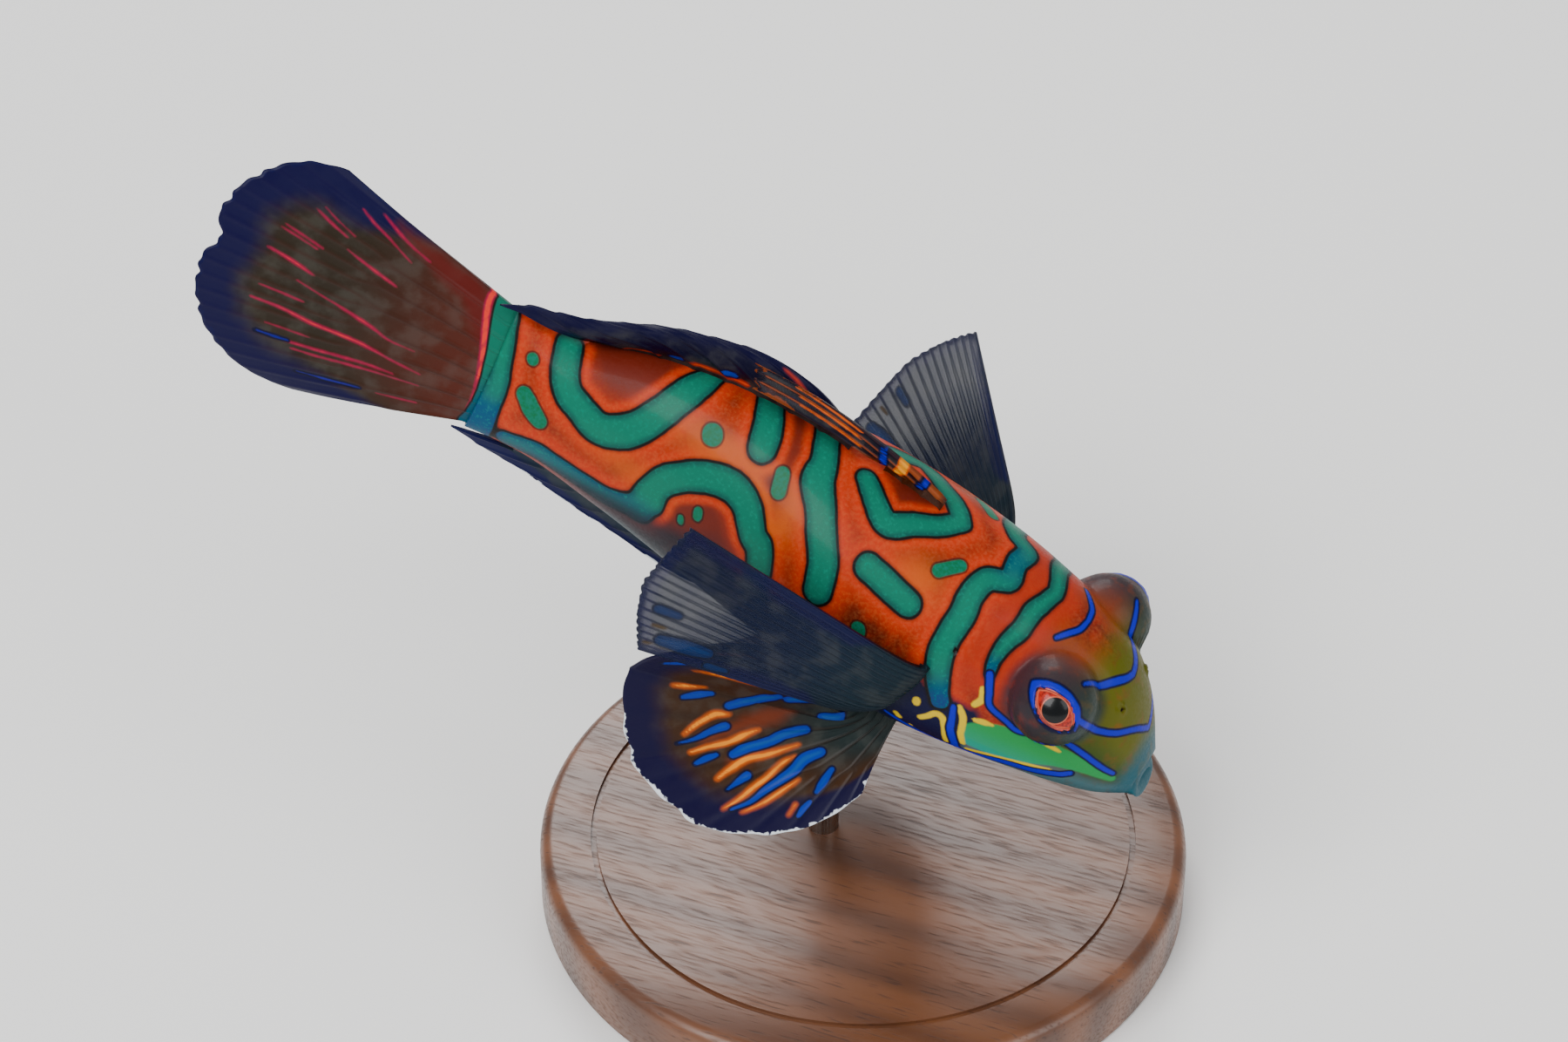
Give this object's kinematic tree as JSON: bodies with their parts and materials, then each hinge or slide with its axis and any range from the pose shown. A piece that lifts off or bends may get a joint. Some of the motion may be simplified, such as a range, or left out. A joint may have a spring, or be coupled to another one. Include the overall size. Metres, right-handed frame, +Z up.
{
  "type": "mandarinfish figure",
  "caption": "Life-size mandarinfish swimming head down with its fins spread, held over a round wooden base by a steel rod.",
  "frame": {"origin": "centre of the flat underside of the round base", "axes": "+X the way the fish heads, +Y to the fish's left, +Z up"},
  "size_m": [0.0554, 0.0381, 0.0467],
  "materials": {
    "skin": "smooth, scaleless wet skin, orange with teal bands edged in black",
    "dark_fins": "thin fin membrane with a dark blue margin and coloured streaks along the rays",
    "clear_fins": "thin, see-through blue-grey fin membrane with fine rays",
    "eyes": "glossy eye with a red iris and a black pupil",
    "stand_wood": "satin walnut",
    "stand_steel": "brushed"
  },
  "bodies": {
    "root": {"head": "skin", "torso": "skin", "tail_stem": "skin", "caudal_fin": "dark_fins", "dorsal_fin_first": "dark_fins", "dorsal_fin_second": "dark_fins", "anal_fin": "dark_fins", "pelvic_fin_left": "dark_fins", "pelvic_fin_right": "dark_fins", "pectoral_fin_left": "clear_fins", "pectoral_fin_right": "clear_fins", "eye_left": "eyes", "eye_right": "eyes", "stand_base": "stand_wood", "stand_rod": "stand_steel"}
  },
  "joints": []
}
